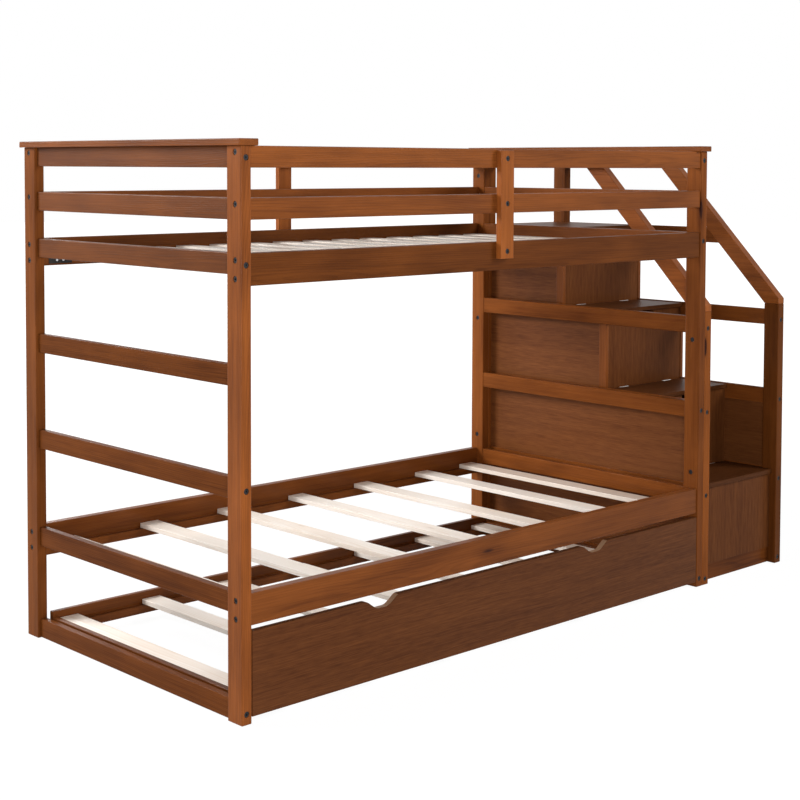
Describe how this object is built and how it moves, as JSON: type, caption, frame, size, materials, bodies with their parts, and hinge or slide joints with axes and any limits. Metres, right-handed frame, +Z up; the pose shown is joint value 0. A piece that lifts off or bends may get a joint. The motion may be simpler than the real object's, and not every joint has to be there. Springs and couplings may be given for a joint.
{
  "type": "bunk bed with storage stairs",
  "caption": "Low wooden bunk bed with guard rails, a pull-out trundle on wheels under the lower bunk, and a staircase at its right end whose treads lift over storage boxes.",
  "frame": {"origin": "on the floor, under the middle of the whole footprint", "axes": "+X along the bed from the ladder end to the stair end, +Y from the open front to the back, +Z up"},
  "size_m": [2.458, 1.103, 1.5],
  "materials": {
    "stained_pine": "walnut-stained pine under semi-gloss lacquer",
    "stained_veneer": "walnut-stained veneer under satin lacquer",
    "bare_pine": "planed and unfinished",
    "bare_beech": "unfinished",
    "black_steel": "black oxide",
    "nickel_steel": "bright nickel plate",
    "zinc_steel": "zinc plate",
    "wheel_plastic": "moulded"
  },
  "bodies": {
    "bed_and_stairs": {"back_guard_rails": "stained_pine", "back_left_post": "stained_pine", "back_lower_side_rail": "stained_pine", "back_right_post": "stained_pine", "back_upper_side_rail": "stained_pine", "frame_bolts": "black_steel", "frame_dowels": "bare_beech", "front_guard_rails": "stained_pine", "front_left_post": "stained_pine", "front_lower_side_rail": "stained_pine", "front_right_post": "stained_pine", "front_upper_side_rail": "stained_pine", "guard_stays": "stained_pine", "inner_handrail": "stained_pine", "left_end_cap": "stained_pine", "left_guard_end_rails": "stained_pine", "left_ladder_rails": "stained_pine", "left_lower_end_rails": "stained_pine", "left_upper_end_rail": "stained_pine", "lower_slats": "bare_pine", "outer_handrail": "stained_pine", "right_end_cap": "stained_pine", "right_guard_end_rails": "stained_pine", "right_ladder_rails": "stained_pine", "right_lower_end_rails": "stained_pine", "right_upper_end_rail": "stained_pine", "slat_cleats": "stained_pine", "stair_back_inner_post": "stained_pine", "stair_back_outer_post": "stained_pine", "stair_back_panel": "stained_veneer", "stair_box_floors": "stained_veneer", "stair_cross_rails": "stained_pine", "stair_front_inner_post": "stained_pine", "stair_front_outer_post": "stained_pine", "stair_inner_panels": "stained_veneer", "stair_inner_rails": "stained_pine", "stair_outer_panels": "stained_veneer", "stair_outer_rails": "stained_pine", "stair_platform": "stained_pine", "stair_risers": "stained_veneer", "stair_stiles": "stained_pine", "stair_top_rails": "stained_pine", "step_hinge_fixed_leaves": "nickel_steel", "step_hinge_pins": "nickel_steel", "upper_slats": "bare_pine"},
    "trundle": {"trundle_front_panel": "stained_veneer", "trundle_back_rail": "stained_pine", "trundle_end_rails": "stained_pine", "trundle_slat_cleats": "stained_pine", "trundle_slats": "bare_pine", "trundle_wheel_brackets": "zinc_steel"},
    "trundle_front_wheel_pair": {"trundle_front_wheels": "wheel_plastic"},
    "trundle_back_wheel_pair": {"trundle_back_wheels": "wheel_plastic"},
    "step_1_tread": {"step_1_lid": "stained_pine", "step_1_hinge_leaves": "nickel_steel"},
    "step_2_tread": {"step_2_lid": "stained_pine", "step_2_hinge_leaves": "nickel_steel"},
    "step_3_tread": {"step_3_lid": "stained_pine", "step_3_hinge_leaves": "nickel_steel"}
  },
  "joints": [
    {"name": "trundle_slide", "type": "slide", "parent": "bed_and_stairs", "child": "trundle", "axis": [0, -1, 0], "range_m": [0, 0.95]},
    {"name": "front_wheels_roll", "type": "hinge", "parent": "trundle", "child": "trundle_front_wheel_pair", "pos_m": [-0.232, -0.438, 0.02], "axis": [1, 0, 0], "range_deg": [0, 2725]},
    {"name": "back_wheels_roll", "type": "hinge", "parent": "trundle", "child": "trundle_back_wheel_pair", "pos_m": [-0.232, 0.37, 0.02], "axis": [1, 0, 0], "range_deg": [0, 2725]},
    {"name": "step_1_hinge", "type": "hinge", "parent": "bed_and_stairs", "child": "step_1_tread", "pos_m": [0.991, -0.3055, 0.339], "axis": [-1, 0, 0], "range_deg": [0, 88]},
    {"name": "step_2_hinge", "type": "hinge", "parent": "bed_and_stairs", "child": "step_2_tread", "pos_m": [0.991, -0.0995, 0.626], "axis": [-1, 0, 0], "range_deg": [0, 88]},
    {"name": "step_3_hinge", "type": "hinge", "parent": "bed_and_stairs", "child": "step_3_tread", "pos_m": [0.991, 0.1065, 0.913], "axis": [-1, 0, 0], "range_deg": [0, 88]}
  ],
  "couplings": [
    {"joint": "front_wheels_roll", "follows": "trundle_slide", "rad_per_m": 50},
    {"joint": "back_wheels_roll", "follows": "trundle_slide", "rad_per_m": 50}
  ]
}
